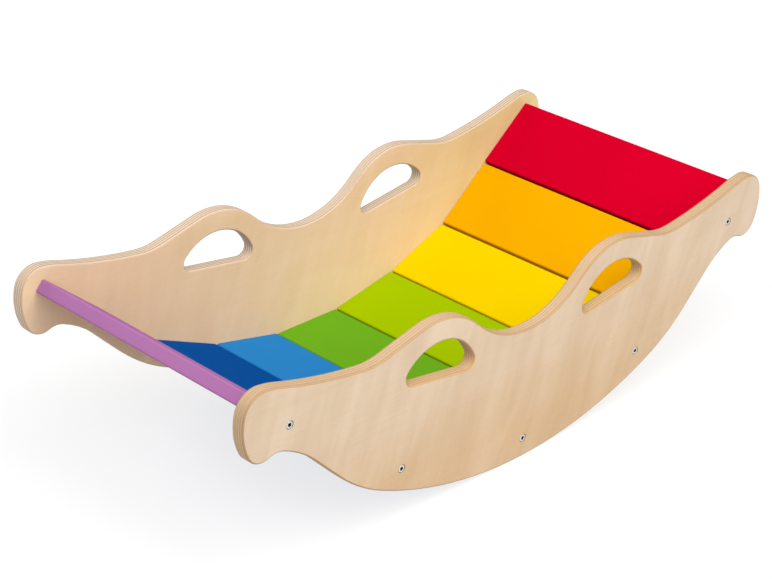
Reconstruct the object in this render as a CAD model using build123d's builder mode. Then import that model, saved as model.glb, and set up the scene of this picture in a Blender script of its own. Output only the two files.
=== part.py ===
from build123d import *
import os
from math import atan2, cos, degrees, radians, sin

# Rocker seesaw: two plywood side panels with curved runners, joined by nine painted boards
# that follow a trough. The boards meet the panels end on. Every board is located by glued
# dowels, and every second board is also pulled up by a socket screw and a barrel nut at each end.
#
# Millimetres. X runs along the seesaw, Y across it and Z up. The origin is on the floor under
# the middle of the seesaw, where the runners touch the ground at rest.

# ---- driving dimensions ----------------------------------------------------------------
overall_width = 420.0           # across both side panels
panel_thickness = 18.0
panel_edge_radius = 2.5         # round-over on every panel edge, hand holes included

board_thickness = 18.0
board_width = 109.0             # along the trough
board_edge_radius = 2.5         # round-over on a board's long edges
board_end_radius = 1.2          # round-over around a board's two ends

# Half of a side panel's outline, from the ground contact round one tip and back to the middle
# of the top edge. Arcs are (radius, turn in degrees, left positive); straight runs are
# (0, length). One more arc, worked out below, closes it level at the middle.
half_outline = [
    (600.0, 24.5),              # runner, flattest where it stands
    (250.0, 20.0),              # runner, tighter towards the tip
    (0, 58.0),
    (140.0, -23.0),
    (28.0, -44.5),              # throat behind the hook
    (24.0, 86.5),               # hooked tip
    (80.0, 38.5),               # end of the seesaw
    (31.0, 83.5),               # shoulder of the tip
    (120.0, 11.5),
    (700.0, -10.5),             # long slope down from the shoulder
    (95.0, -21.0),              # hollow between tip and handle bump
    (0, 62.0),
    (100.0, 55.5),              # crown of the handle bump
    (0, 17.0),
]

# Hand hole: a half-moon with its flat side down, tilted with the bump above it.
hole_centre = (157.0, 195.0)
hole_tilt = 8.5
hole_crown_radius = 68.0
hole_crown_height = 27.5        # crown above the hole's centre
hole_floor_depth = 21.0         # flat side below the hole's centre
hole_corner_radius = 12.0

# One side of the trough, from the middle outwards: each board's centre in X and Z, and its
# slope in degrees, rising outwards. The other side mirrors it.
half_trough = [
    (0.0, 27.0, 0.0),
    (111.8, 39.4, 12.0),
    (219.2, 73.0, 23.0),
    (315.5, 132.5, 40.0),
    (400.0, 205.5, 39.5),
]
board_names = [
    "lilac_board",
    "violet_board",
    "dark_blue_board",
    "light_blue_board",
    "green_board",
    "lime_board",
    "yellow_board",
    "orange_board",
    "red_board",
]

# M6 socket screw with its counterbore in the panel
screw_radius = 2.95
screw_length = 50.0             # under the head
screw_tip_chamfer = 0.8
head_radius = 5.0
head_height = 6.0
head_edge_radius = 0.6
head_recess = 0.4               # head below the panel's face
hex_across_flats = 5.0
hex_depth = 3.0
counterbore_radius = 5.6
panel_clearance_radius = 3.3
board_clearance_radius = 3.5
board_clearance_depth = 48.0

# barrel nut, set into the underside of its board
nut_radius = 5.0
nut_length = 12.0
nut_bore_radius = 3.0
nut_from_board_end = 34.0
nut_slot_width = 1.4
nut_slot_depth = 1.5
nut_pocket_radius = 5.1
nut_pocket_depth = 15.5

# wooden dowels, two at each end of every board
dowel_radius = 3.95
dowel_hole_radius = 4.0
dowel_in_panel = 10.0
dowel_in_board = 25.0
dowel_chamfer = 0.8
dowel_hole_spare = 1.0          # room for glue at the bottom of each hole
dowel_spacing = 64.0

# ---- derived dimensions ----------------------------------------------------------------
board_length = overall_width - 2 * panel_thickness
inner_face = board_length / 2
outer_face = overall_width / 2
sides = (-1, 1)                 # the near panel is on -Y, the far panel on +Y
middle_board = len(board_names) // 2


def board_place(index):
    """Centre in X and Z, and slope in degrees rising towards +X, of one board."""
    steps_out = index - middle_board
    x, z, slope = half_trough[abs(steps_out)]
    if steps_out < 0:
        return -x, z, -slope
    return x, z, slope


def is_screwed(index):
    """Every second board, counted from either end, has a screw at each end."""
    return index % 2 == 0


def board_plane(index):
    """Plane through the middle of a board: x up the slope, y across the seesaw, z out of its top."""
    x, z, slope = board_place(index)
    angle = radians(slope)
    return Plane(
        origin=(x, 0, z),
        x_dir=(cos(angle), 0, sin(angle)),
        z_dir=(-sin(angle), 0, cos(angle)),
    )


def end_plane(index, side, distance):
    """Plane across a board's ends, at a distance from the middle of the seesaw, facing outwards."""
    x, z, slope = board_place(index)
    angle = radians(slope)
    return Plane(
        origin=(x, side * distance, z),
        x_dir=(-side * cos(angle), 0, -side * sin(angle)),
        z_dir=(0, side, 0),
    )


def panel_plane(side, distance):
    """Upright plane along the seesaw, facing away from its middle."""
    return Plane(origin=(0, side * distance, 0), x_dir=(-side, 0, 0), z_dir=(0, side, 0))


def save(part, name):
    """Label a finished part and write its STEP file."""
    part.label = name
    export_step(part, "parts/" + name + ".step")
    print(f"{name:32s} solids {len(part.solids()):2d}  volume {part.volume / 1000:9.2f} cm3")


# ---- side panels -----------------------------------------------------------------------
def hand_hole():
    """Half-moon face about its own centre, flat side down."""
    with BuildSketch() as half_moon:
        with Locations((0, hole_crown_height - hole_crown_radius)):
            Circle(hole_crown_radius)
        with Locations((0, -hole_floor_depth)):
            Rectangle(
                2 * hole_crown_radius,
                hole_crown_radius,
                align=(Align.CENTER, Align.MIN),
                mode=Mode.INTERSECT,
            )
        fillet(half_moon.vertices(), hole_corner_radius)
    return half_moon.sketch


def panel_profile():
    """A side panel's outline with both hand holes, X across and Z up."""
    half_moon = hand_hole()
    hole_x, hole_z = hole_centre
    with BuildSketch() as profile:
        with BuildLine() as outline:
            point, heading = Vector(0, 0), Vector(1, 0)
            for radius, amount in half_outline:
                if radius == 0:
                    piece = Line(point, point + heading * amount)
                else:
                    piece = JernArc(point, heading, radius, amount)
                point, heading = piece @ 1, piece % 1
            closing_turn = atan2(heading.Y, -heading.X)
            closing_radius = point.X / sin(-closing_turn)
            JernArc(point, heading, closing_radius, degrees(closing_turn))
            mirror(outline.edges(), about=Plane.YZ)
        make_face()
        with Locations(Location((hole_x, hole_z, 0), (0, 0, hole_tilt))):
            add(half_moon, mode=Mode.SUBTRACT)
        with Locations(Location((-hole_x, hole_z, 0), (0, 0, -hole_tilt))):
            add(half_moon, mode=Mode.SUBTRACT)
    return profile.sketch


def side_panel(side, name):
    """A rocker-shaped panel with rounded edges, screw holes and blind dowel holes."""
    profile = panel_profile()
    with BuildPart() as panel:
        with BuildSketch(panel_plane(side, inner_face)):
            add(profile)
        extrude(amount=panel_thickness)
        fillet(panel.faces().filter_by(Axis.Y).edges(), panel_edge_radius)
        for index in range(len(board_names)):
            if is_screwed(index):
                with Locations(end_plane(index, side, outer_face)):
                    CounterBoreHole(
                        panel_clearance_radius,
                        counterbore_radius,
                        head_recess + head_height,
                        panel_thickness,
                    )
            with BuildSketch(end_plane(index, side, inner_face)):
                with GridLocations(dowel_spacing, 0, 2, 1):
                    Circle(dowel_hole_radius)
            extrude(amount=dowel_in_panel + dowel_hole_spare, mode=Mode.SUBTRACT)
    save(panel.part, name)


# ---- boards ----------------------------------------------------------------------------
def slat_board(index, name):
    """A flat board with softened edges, drilled at both ends."""
    with BuildPart(board_plane(index)) as board:
        Box(board_width, board_length, board_thickness)
        fillet(board.edges().filter_by(Axis.Y), board_edge_radius)
        fillet(board.faces().filter_by(Axis.Y).edges(), board_end_radius)
        for side in sides:
            with BuildSketch(end_plane(index, side, inner_face)):
                with GridLocations(dowel_spacing, 0, 2, 1):
                    Circle(dowel_hole_radius)
            extrude(amount=-dowel_in_board - dowel_hole_spare, mode=Mode.SUBTRACT)
            if is_screwed(index):
                with BuildSketch(end_plane(index, side, inner_face)):
                    Circle(board_clearance_radius)
                extrude(amount=-board_clearance_depth, mode=Mode.SUBTRACT)
                with BuildSketch(board_plane(index).offset(-board_thickness / 2)):
                    with Locations((0, side * (inner_face - nut_from_board_end))):
                        Circle(nut_pocket_radius)
                extrude(amount=nut_pocket_depth, mode=Mode.SUBTRACT)
    save(board.part, name)


# ---- fasteners -------------------------------------------------------------------------
def dowels(index, name):
    """The four dowels of one board."""
    with BuildPart() as pegs:
        for side in sides:
            with BuildSketch(end_plane(index, side, inner_face - dowel_in_board)):
                with GridLocations(dowel_spacing, 0, 2, 1):
                    Circle(dowel_radius)
            extrude(amount=dowel_in_board + dowel_in_panel)
        chamfer(pegs.edges().filter_by(GeomType.CIRCLE), dowel_chamfer)
    save(pegs.part, name)


def socket_screws(index, name):
    """The two socket screws of one board, one through each side panel."""
    head_top = outer_face - head_recess
    head_seat = head_top - head_height
    with BuildPart() as screws:
        for side in sides:
            with BuildSketch(end_plane(index, side, head_top)):
                Circle(head_radius)
            extrude(amount=-head_height)
            with BuildSketch(end_plane(index, side, head_seat)):
                Circle(screw_radius)
            extrude(amount=-screw_length)
        outer_rims = screws.edges().filter_by(GeomType.CIRCLE).sort_by(Axis.Y)
        fillet([outer_rims[0], outer_rims[-1]], head_edge_radius)
        tips = screws.edges().filter_by(GeomType.CIRCLE).sort_by(lambda rim: abs(rim.center().Y))
        chamfer(tips[:2], screw_tip_chamfer)
        for side in sides:
            with BuildSketch(end_plane(index, side, head_top)):
                RegularPolygon(hex_across_flats / 2, 6, major_radius=False)
            extrude(amount=-hex_depth, mode=Mode.SUBTRACT)
    save(screws.part, name)


def barrel_nuts(index, name):
    """The two barrel nuts of one board, their cross bores in line with the screws."""
    with BuildPart() as nuts:
        nut_middle = inner_face - nut_from_board_end
        with BuildSketch(board_plane(index).offset(-nut_length / 2)):
            with GridLocations(0, 2 * nut_middle, 1, 2):
                Circle(nut_radius)
        extrude(amount=nut_length)
        with BuildSketch(end_plane(index, 1, nut_middle + nut_radius)):
            Circle(nut_bore_radius)
        extrude(amount=-2 * (nut_middle + nut_radius), mode=Mode.SUBTRACT)
        with BuildSketch(board_plane(index).offset(-nut_length / 2)):
            with GridLocations(0, 2 * nut_middle, 1, 2):
                Rectangle(2 * nut_radius, nut_slot_width)
        extrude(amount=nut_slot_depth, mode=Mode.SUBTRACT)
    save(nuts.part, name)


# ---- the assembly ----------------------------------------------------------------------
os.makedirs("parts", exist_ok=True)
side_panel(-1, "near_side_panel")
side_panel(1, "far_side_panel")
for index, name in enumerate(board_names):
    slat_board(index, name)
    dowels(index, name + "_dowels")
    if is_screwed(index):
        socket_screws(index, name + "_screws")
        barrel_nuts(index, name + "_barrel_nuts")
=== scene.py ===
import math

import bpy
from mathutils import Matrix, Vector


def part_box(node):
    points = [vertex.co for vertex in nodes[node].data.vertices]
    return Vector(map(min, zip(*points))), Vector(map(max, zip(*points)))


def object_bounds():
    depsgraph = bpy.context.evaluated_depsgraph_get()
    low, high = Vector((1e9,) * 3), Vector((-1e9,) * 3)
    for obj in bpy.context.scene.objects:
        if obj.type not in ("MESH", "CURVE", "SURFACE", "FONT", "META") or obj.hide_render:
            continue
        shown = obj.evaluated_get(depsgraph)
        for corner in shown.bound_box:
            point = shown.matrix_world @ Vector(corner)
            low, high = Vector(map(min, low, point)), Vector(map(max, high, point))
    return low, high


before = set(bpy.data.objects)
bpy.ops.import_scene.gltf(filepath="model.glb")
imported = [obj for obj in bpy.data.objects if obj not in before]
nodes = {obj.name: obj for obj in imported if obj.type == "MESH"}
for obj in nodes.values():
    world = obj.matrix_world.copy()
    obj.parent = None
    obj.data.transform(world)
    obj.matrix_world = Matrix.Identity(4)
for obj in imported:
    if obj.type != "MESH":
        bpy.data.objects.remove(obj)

# Rocker seesaw: two lacquered birch plywood side panels and nine painted boards between them,
# held by dowels, socket screws and barrel nuts. Metres throughout, in the frame of the CAD model.
# The shapes are the CAD nodes themselves; this script gives them their materials, and adds the
# floor, the lights and the camera.

cad_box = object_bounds()
cad_low, cad_high = cad_box
middle = (cad_low + cad_high) / 2
length = cad_high.x - cad_low.x

# Where the side panels' inner and outer faces are, either side of the middle
panel_low, panel_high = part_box("far_side_panel")
inner_face = panel_low.y
outer_face = panel_high.y


def srgb(red, green, blue):
    """A linear colour from an sRGB one given as 0 to 255."""
    linear = []
    for value in (red, green, blue):
        share = value / 255
        linear.append(share / 12.92 if share <= 0.04045 else ((share + 0.055) / 1.055) ** 2.4)
    return (*linear, 1.0)


# ---- wiring up node materials ----------------------------------------------------------


class Graph:
    """A node material while it is wired up. Values may be plain numbers or node outputs."""

    def __init__(self, name):
        self.material = bpy.data.materials.new(name)
        self.material.use_nodes = True
        self.tree = self.material.node_tree
        self.tree.nodes.clear()

    def put(self, socket, value):
        if isinstance(value, bpy.types.NodeSocket):
            self.tree.links.new(value, socket)
        else:
            socket.default_value = value

    def node(self, kind, inputs, **settings):
        made = self.tree.nodes.new(kind)
        for key, value in settings.items():
            setattr(made, key, value)
        for key, value in inputs.items():
            self.put(made.inputs[key], value)
        return made

    def math(self, operation, *values, clamp=False):
        inputs = dict(enumerate(values))
        return self.node("ShaderNodeMath", inputs, operation=operation, use_clamp=clamp).outputs[0]

    def vector(self, x, y, z):
        return self.node("ShaderNodeCombineXYZ", {0: x, 1: y, 2: z}).outputs[0]

    def split(self, vector):
        return self.node("ShaderNodeSeparateXYZ", {0: vector}).outputs

    def position(self):
        return self.node("ShaderNodeTexCoord", {}).outputs["Object"]

    def normal(self):
        """The surface's normal in the object's own axes."""
        normal = self.node("ShaderNodeNewGeometry", {}).outputs["Normal"]
        turned = self.node(
            "ShaderNodeVectorTransform",
            {0: normal},
            vector_type="NORMAL",
            convert_from="WORLD",
            convert_to="OBJECT",
        )
        return turned.outputs[0]

    def blend(self, share, low, high):
        """A number going from low to high as share goes from 0 to 1."""
        return self.node(
            "ShaderNodeMix",
            {"Factor": share, "A": low, "B": high},
            data_type="FLOAT",
        ).outputs["Result"]

    def colours(self, share, low, high, blend_type="MIX"):
        """A colour going from low to high, or low blended with high, by share."""
        made = self.tree.nodes.new("ShaderNodeMix")
        made.data_type = "RGBA"
        made.blend_type = blend_type
        self.put(made.inputs[0], share)
        self.put(made.inputs[6], low)
        self.put(made.inputs[7], high)
        return made.outputs[2]

    def shaded(self, colour, shade):
        """A colour made darker or lighter by a plain number."""
        return self.colours(1.0, colour, self.vector(shade, shade, shade), "MULTIPLY")

    def step(self, value, start, end, low=0.0, high=1.0):
        """Low before start, high after end, and a smooth change between."""
        inputs = {"Value": value, "From Min": start, "From Max": end, "To Min": low, "To Max": high}
        return self.node(
            "ShaderNodeMapRange", inputs, interpolation_type="SMOOTHSTEP"
        ).outputs[0]

    def noise(self, vector, scale=1.0, detail=2.0, roughness=0.5, distortion=0.0):
        inputs = {
            "Vector": vector,
            "Scale": scale,
            "Detail": detail,
            "Roughness": roughness,
            "Distortion": distortion,
        }
        return self.node("ShaderNodeTexNoise", inputs, noise_dimensions="3D").outputs[0]

    def bump(self, height, distance):
        inputs = {"Height": height, "Distance": distance, "Strength": 1.0}
        return self.node("ShaderNodeBump", inputs).outputs[0]

    def surface(self, colour, roughness, bump=None, **shading):
        inputs = {"Base Color": colour, "Roughness": roughness}
        for key, value in shading.items():
            inputs[key.replace("_", " ")] = value
        if bump is not None:
            inputs["Normal"] = bump
        shader = self.node("ShaderNodeBsdfPrincipled", inputs)
        output = self.tree.nodes.new("ShaderNodeOutputMaterial")
        self.tree.links.new(shader.outputs[0], output.inputs["Surface"])
        return self.material


# ---- birch plywood ---------------------------------------------------------------------

ply_count = 9
ply_thickness = (outer_face - inner_face) / ply_count
ply_shift = 0.731               # moves each ply's pattern away from its neighbours'
glue_line = 0.05                # share of a ply's thickness
birch_pale = (0.535, 0.418, 0.305, 1.0)
birch_honey = (0.475, 0.312, 0.165, 1.0)
birch_end_grain = srgb(163, 131, 98)
birch_glue = srgb(120, 90, 62)

# Patterns in the wood: how fast each changes along and across the grain, per metre
band_rate = (2.4, 17.0)
fibre_rate = (16.0, 620.0)
fleck_rate = (90.0, 1500.0)
figure_rate = (30.0, 6.5)
figure_lean = 0.35
pore_rate = 2300.0

# The panel's height from which its painted light and shade are as at the top, and where the
# painted tint at the red board's end of its inner face begins and ends
full_height = 0.85 * cad_high.z
red_end_start = 0.1 * length
red_end_full = 0.4 * length

# How far a surface faces sideways, from 0 for a square cut to 1 for the panel's face. The
# roundings take painted shade that grows from square_cut to rounded_off, and fade into the
# face from rounding_end to flat_face.
square_cut = 0.0
rounded_off = 0.35
rounding_end = 0.93
flat_face = 0.995

# The hand holes' centre, either side of the middle, the slope of their floor, and half the
# length and height of an oval that takes one in, inside which the walls get painted light
hand_hole_x = 0.157
hand_hole_z = 0.195
hand_hole_slope = 0.15
hand_hole_reach_x = 0.072
hand_hole_reach_z = 0.038


def birch_plywood(
    name,
    seed,
    figuring,
    top,
    foot,
    edge,
    edge_tint,
    rounding_painted_shade,
    glue_strength,
    red_bounce_painted_tint=None,
    hole_painted_light=None,
):
    """Solid plywood texture: every second ply turns its grain, so faces show long grain and cut
    edges show stripes, darker where the plies are cut across the grain. Top, foot and edge each
    give a tone and a warmth, from pale to honey coloured, for the panel's top, its foot and its
    cut edges; the change from top to foot is painted light and shade. Figuring is how strongly
    the clouds in the veneer show, and glue_strength how dark the lines between the plies are.
    Cut edges are multiplied by edge_tint and their roundings by a painted shade. The inner face
    takes a painted tint towards the red board's end that takes out the pink of that board's
    reflected light, and the walls of the hand holes take painted light."""
    top_tone, top_warmth = top
    foot_tone, foot_warmth = foot
    edge_tone, edge_warmth = edge
    g = Graph(name)
    x, y, z = g.split(g.position())
    normal_x, normal_y, normal_z = g.split(g.normal())

    # Which ply this point is in, and how far through it
    depth = g.math("SUBTRACT", g.math("ABSOLUTE", y), inner_face)
    level = g.math("DIVIDE", depth, ply_thickness)
    level = g.math("MINIMUM", g.math("MAXIMUM", level, 0.001), ply_count - 0.001)
    ply = g.math("FLOOR", level)
    crossed = g.math("MODULO", ply, 2.0)
    through = g.math("SUBTRACT", level, ply)

    # Along and across that ply's grain, and how squarely a surface cuts the grain
    along = g.blend(crossed, x, z)
    across = g.blend(crossed, z, x)
    own = g.math("ADD", g.math("MULTIPLY", ply, ply_shift), seed)
    end_cut = g.blend(
        crossed, g.math("POWER", normal_x, 2.0), g.math("POWER", normal_z, 2.0)
    )

    def grain(rate, lengthwise=along, **settings):
        """A pattern that changes at this rate along and across the ply's grain."""
        along_rate, across_rate = rate
        place = g.vector(
            g.math("MULTIPLY", lengthwise, along_rate),
            g.math("MULTIPLY", across, across_rate),
            own,
        )
        return g.noise(place, **settings)

    bands = grain(band_rate, detail=3.0, distortion=0.5)
    fibres = grain(fibre_rate, detail=3.0, roughness=0.6)
    flecks = grain(fleck_rate, detail=1.0)
    pores = g.noise(g.position(), scale=pore_rate, detail=2.0)

    # Birch figure: soft pale and dark clouds that lie across the grain and lean a little
    leaning = g.math("SUBTRACT", along, g.math("MULTIPLY", across, figure_lean))
    figure = grain(figure_rate, leaning, detail=3.0, roughness=0.55, distortion=0.5)
    figure = g.math("MULTIPLY", g.math("SUBTRACT", figure, 0.5), figuring)

    # Painted light and shade change its warmth from top to foot; the veneer turns warmer in soft
    # bands and clouds
    painted_light_by_height = g.step(z, cad_low.z, full_height)
    warmth = g.blend(painted_light_by_height, foot_warmth, top_warmth)
    warmth = g.math("ADD", warmth, g.blend(bands, -0.25, 0.25))
    warmth = g.math("SUBTRACT", warmth, g.math("MULTIPLY", figure, 0.7), clamp=True)
    facing_out = g.math("ABSOLUTE", normal_y)
    cut = g.step(facing_out, rounding_end, flat_face, 1.0, 0.0)
    wood = g.colours(g.blend(cut, warmth, edge_warmth), birch_pale, birch_honey)
    # A painted tint that takes the pink of the red board's reflected light out of the inner face
    if red_bounce_painted_tint is not None:
        # Only in the ply that is the inner face
        red_end = g.step(x, red_end_start, red_end_full)
        inner_ply = g.step(level, 0.2, 1.0, 1.0, 0.0)
        wood = g.colours(g.math("MULTIPLY", red_end, inner_ply), wood, red_bounce_painted_tint, "MULTIPLY")

    # Painted light and shade set its tone from top to foot, fibres, clouds and flecks shade it,
    # and where the grain is cut it shows dark end grain
    tone = g.blend(cut, g.blend(painted_light_by_height, foot_tone, top_tone), edge_tone)
    shade = g.math("MULTIPLY", tone, g.blend(fibres, 0.94, 1.05))
    shade = g.math("MULTIPLY", shade, g.math("ADD", 1.0, g.math("MULTIPLY", figure, 0.2)))
    shade = g.math("MULTIPLY", shade, g.step(flecks, 0.62, 0.80, 1.0, 0.90))
    wood = g.shaded(wood, shade)
    end_wood = g.shaded(birch_end_grain, g.blend(pores, 0.80, 1.16))
    wood = g.colours(end_cut, wood, end_wood)

    # Cut edges have a tint of their own, and the outer plies' roundings get painted shade that
    # takes off the light they catch
    wood = g.colours(cut, wood, edge_tint, "MULTIPLY")
    rounding = g.math("MULTIPLY", cut, g.step(facing_out, square_cut, rounded_off))
    wood = g.colours(rounding, wood, rounding_painted_shade, "MULTIPLY")

    # Painted light on the walls of the hand holes, which lie in shade
    if hole_painted_light is not None:
        # How far off the nearer hand hole's centre, with 1 on the oval that takes it in
        beside = g.math("SUBTRACT", g.math("ABSOLUTE", x), hand_hole_x)
        above = g.math("SUBTRACT", z, hand_hole_z)
        above = g.math("SUBTRACT", above, g.math("MULTIPLY", beside, hand_hole_slope))
        offset = g.vector(
            g.math("DIVIDE", beside, hand_hole_reach_x),
            g.math("DIVIDE", above, hand_hole_reach_z),
            0.0,
        )
        away = g.node("ShaderNodeVectorMath", {0: offset}, operation="LENGTH").outputs["Value"]
        painted_light_in_hole = g.math("MULTIPLY", cut, g.step(away, 1.0, 1.2, 1.0, 0.0))
        wood = g.colours(painted_light_in_hole, wood, hole_painted_light, "MULTIPLY")

    # Glue shows as a thin dark line between plies, on cut edges only
    nearest_joint = g.math("MINIMUM", through, g.math("SUBTRACT", 1.0, through))
    glue = g.step(nearest_joint, glue_line, 2 * glue_line, 1.0, 0.0)
    glue = g.math("MULTIPLY", g.math("MULTIPLY", glue, cut), glue_strength)
    wood = g.colours(glue, wood, birch_glue)

    height = g.math("ADD", g.math("MULTIPLY", fibres, 0.6), g.math("MULTIPLY", pores, end_cut))
    return g.surface(
        wood,
        roughness=g.blend(cut, g.blend(fibres, 0.42, 0.52), 0.65),
        bump=g.bump(height, distance=0.00006),
        Specular_IOR_Level=0.25,
    )


# ---- paint -----------------------------------------------------------------------------

board_paint = {
    "lilac_board": srgb(141, 91, 135),
    "violet_board": srgb(88, 46, 110),
    "dark_blue_board": srgb(0, 61, 125),
    "light_blue_board": srgb(32, 105, 161),
    "green_board": srgb(85, 137, 22),
    "lime_board": srgb(129, 153, 0),
    "yellow_board": srgb(194, 164, 0),
    "orange_board": srgb(192, 135, 0),
    "red_board": srgb(164, 0, 28),
}

# How fast the paint's patterns change, per metre
ghost_rate_across = 420.0
ghost_rate_along = 9.0
cloud_rate = 9.0
peel_rate = 1100.0


def board_slope(node):
    """Slope of a board about Y, from the direction that its largest flat face looks."""
    largest = max(node.data.polygons, key=lambda face: face.area)
    facing = largest.normal if largest.normal.z > 0 else -largest.normal
    return math.atan2(-facing.x, facing.z)


def paint(name, colour, node):
    """Matt paint on a sanded board: a faint ghost of the grain along the board, and a fine
    orange peel."""
    g = Graph(name)
    low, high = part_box(node.name)
    centre = (low + high) / 2
    from_centre = g.node(
        "ShaderNodeMapping", {"Vector": g.position(), "Location": -centre}, vector_type="POINT"
    ).outputs[0]
    on_board = g.node(
        "ShaderNodeMapping",
        {"Vector": from_centre, "Rotation": (0.0, board_slope(node), 0.0)},
        vector_type="POINT",
    ).outputs[0]
    across, along, up = g.split(on_board)

    ghost_place = g.vector(
        g.math("MULTIPLY", across, ghost_rate_across),
        g.math("MULTIPLY", along, ghost_rate_along),
        up,
    )
    ghost = g.noise(ghost_place, detail=2.0)
    cloud = g.noise(on_board, scale=cloud_rate, detail=2.0)
    peel = g.noise(on_board, scale=peel_rate, detail=1.0)

    shade = g.math("MULTIPLY", g.blend(cloud, 0.95, 1.05), g.blend(ghost, 0.985, 1.015))
    height = g.math("ADD", g.math("MULTIPLY", ghost, 0.8), g.math("MULTIPLY", peel, 0.5))
    return g.surface(
        g.shaded(colour, shade),
        roughness=g.blend(cloud, 0.46, 0.54),
        bump=g.bump(height, distance=0.00005),
        IOR=1.2,
        Specular_IOR_Level=0.01,
    )


# ---- fastenings ------------------------------------------------------------------------

zinc_dark = srgb(196, 198, 200)
zinc_bright = srgb(222, 224, 226)
# Reach of the painted shade in the screws' sockets
painted_shade_reach = 0.004            # how near walls have to be for a point to count as in a socket
beech_dark = srgb(196, 148, 108)
beech_pale = srgb(221, 180, 142)

# How fast the patterns change, per metre
zinc_mark_rate = 2600.0
beech_rate_along = 60.0
beech_rate_across = 1400.0


def zinc(name):
    """Bright zinc plating: cool grey metal with fine turned marks, and painted shade that makes it
    nearly black down in the sockets."""
    g = Graph(name)
    marks = g.noise(g.position(), scale=zinc_mark_rate, detail=2.0)
    plating = g.colours(marks, zinc_dark, zinc_bright)
    # Painted shade where walls close in, nearly black in the sockets
    socket_painted_shade = g.node("ShaderNodeAmbientOcclusion", {"Distance": painted_shade_reach}, samples=8)
    unshaded_share = socket_painted_shade.outputs["AO"]
    return g.surface(
        g.shaded(plating, g.step(unshaded_share, 0.35, 0.85, 0.03, 1.0)),
        roughness=g.blend(marks, 0.24, 0.38),
        bump=g.bump(marks, distance=0.00002),
        Metallic=1.0,
    )


def beech(name):
    """Beech dowel: pinkish brown, with the grain along it."""
    g = Graph(name)
    x, y, z = g.split(g.position())
    place = g.vector(
        g.math("MULTIPLY", x, beech_rate_across),
        g.math("MULTIPLY", y, beech_rate_along),
        g.math("MULTIPLY", z, beech_rate_across),
    )
    rays = g.noise(place, detail=2.0)
    return g.surface(
        g.colours(rays, beech_dark, beech_pale),
        roughness=0.55,
        bump=g.bump(rays, distance=0.00006),
        Specular_IOR_Level=0.3,
    )


def finish_with(node, material):
    """Gives every material slot of a CAD node the same material."""
    for slot in node.material_slots:
        slot.material = material


# The near panel's foot takes a painted warm shade, and its hand holes take painted light
near_plywood = birch_plywood(
    "birch_plywood_near",
    seed=3.7,
    figuring=1.0,
    top=(0.88, 0.2),
    foot=(0.89, 0.85),
    edge=(0.79, 0.4),
    edge_tint=(0.98, 0.98, 0.94, 1.0),
    rounding_painted_shade=(0.82, 0.72, 0.58, 1.0),
    glue_strength=0.9,
    hole_painted_light=(1.22, 1.18, 1.05, 1.0),
)
# The far panel is the same plywood as the near one, with its own grain, made lighter by painted
# light where the near panel shades it, most at its foot
far_plywood_painted_light = birch_plywood(
    "birch_plywood_far_painted_light",
    seed=11.2,
    figuring=0.55,
    top=(1.07, 0.55),
    foot=(1.27, 0.65),
    edge=(1.02, 0.0),
    edge_tint=(0.89, 0.96, 1.04, 1.0),
    rounding_painted_shade=(0.90, 0.79, 0.72, 1.0),
    glue_strength=0.5,
    red_bounce_painted_tint=(0.94, 1.03, 0.79, 1.0),
)
finish_with(nodes["near_side_panel"], near_plywood)
finish_with(nodes["far_side_panel"], far_plywood_painted_light)
for board, colour in board_paint.items():
    finish_with(nodes[board], paint(board.replace("board", "paint"), colour, nodes[board]))
plating = zinc("zinc_plating")
dowel_wood = beech("beech_dowels")
for name, node in nodes.items():
    if name.endswith(("_screws", "_barrel_nuts")):
        finish_with(node, plating)
    if name.endswith("_dowels"):
        finish_with(node, dowel_wood)


# ---- floor, light and camera -----------------------------------------------------------

white = (1.0, 1.0, 1.0, 1.0)
softbox_spread = 55.0           # degrees


def make_floor(reach, tones, glow):
    """A white floor that glows a little, so that the object's shadow on it stays pale."""
    mesh = bpy.data.meshes.new("floor")
    corners = [(-reach, -reach, 0), (reach, -reach, 0), (reach, reach, 0), (-reach, reach, 0)]
    mesh.from_pydata(corners, [], [(0, 1, 2, 3)])
    floor = bpy.data.objects.new("floor", mesh)
    bpy.context.scene.collection.objects.link(floor)
    g = Graph("floor_white")
    mottle = g.noise(g.position(), scale=3.0, detail=2.0)
    material = g.surface(
        g.colours(mottle, *tones),
        roughness=0.8,
        Specular_IOR_Level=0.1,
        Emission_Color=white,
        Emission_Strength=glow,
    )
    mesh.materials.append(material)


def softbox(name, direction, irradiance):
    """A very large, far softbox: even light from one direction, with soft shadows."""
    light = bpy.data.lights.new(name, "SUN")
    light.energy = irradiance
    light.angle = math.radians(softbox_spread)
    lamp = bpy.data.objects.new(name, light)
    lamp.location = middle + direction * length
    lamp.rotation_euler = direction.to_track_quat("Z", "Y").to_euler()
    bpy.context.scene.collection.objects.link(lamp)


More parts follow.
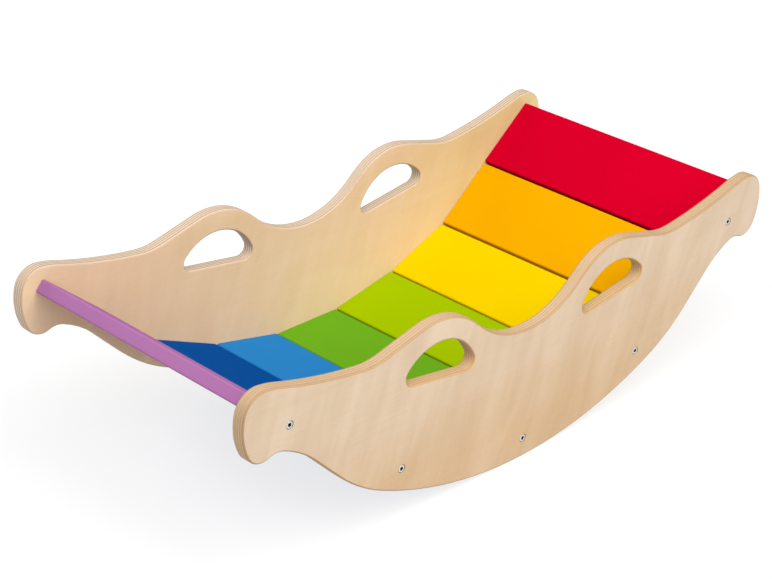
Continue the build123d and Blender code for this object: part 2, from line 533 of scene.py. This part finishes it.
def overhead_softbox(place, size, power):
    """A softbox above the near side, turned towards the far panel and unseen by the camera."""
    light = bpy.data.lights.new("overhead_softbox", "AREA")
    light.size = size
    light.energy = power
    lamp = bpy.data.objects.new("overhead_softbox", light)
    lamp.location = place
    aim = Vector((middle.x, inner_face, middle.z))
    lamp.rotation_euler = (aim - place).to_track_quat("-Z", "Y").to_euler()
    lamp.visible_camera = False
    bpy.context.scene.collection.objects.link(lamp)


def make_world(strength):
    world = bpy.data.worlds.new("studio")
    world.use_nodes = True
    background = world.node_tree.nodes["Background"]
    background.inputs["Color"].default_value = white
    background.inputs["Strength"].default_value = strength
    bpy.context.scene.world = world


def make_camera(place, heading, tilt, roll, lens):
    """A camera looking down by tilt, turned from +Y towards +X by heading and about its own
    axis by roll, in degrees."""
    heading, tilt, roll = math.radians(heading), math.radians(tilt), math.radians(roll)
    forward = Vector((
        math.cos(tilt) * math.sin(heading),
        math.cos(tilt) * math.cos(heading),
        -math.sin(tilt),
    ))
    level = Vector((math.cos(heading), -math.sin(heading), 0.0))
    down = forward.cross(level)
    right = level * math.cos(roll) + down * math.sin(roll)
    up = right.cross(forward)
    camera = bpy.data.cameras.new("camera")
    camera.lens = lens
    camera.sensor_width = 36.0
    camera_object = bpy.data.objects.new("camera", camera)
    turn = Matrix((right, up, -forward)).transposed().to_4x4()
    camera_object.matrix_world = Matrix.Translation(place) @ turn
    bpy.context.scene.collection.objects.link(camera_object)
    bpy.context.scene.camera = camera_object


make_floor(
    reach=20 * length,
    tones=((0.18, 0.18, 0.18, 1.0), (0.20, 0.20, 0.20, 1.0)),
    glow=0.74,
)
make_world(strength=0.3)
softbox("front_softbox", direction=Vector((0.20, -0.72, 0.66)), irradiance=2.3)
softbox("left_softbox", direction=Vector((-0.66, -0.40, 0.68)), irradiance=2.5)
softbox("back_softbox", direction=Vector((-0.25, 0.87, 0.42)), irradiance=1.4)
overhead_softbox(place=middle + Vector((-0.08, -0.25, 0.85)), size=0.8, power=6.0)
make_camera(
    place=(-1.7121, -1.6373, 1.3602),
    heading=45.58,
    tilt=26.93,
    roll=-1.812,
    lens=95.23,
)
bpy.context.scene.view_settings.view_transform = "Standard"
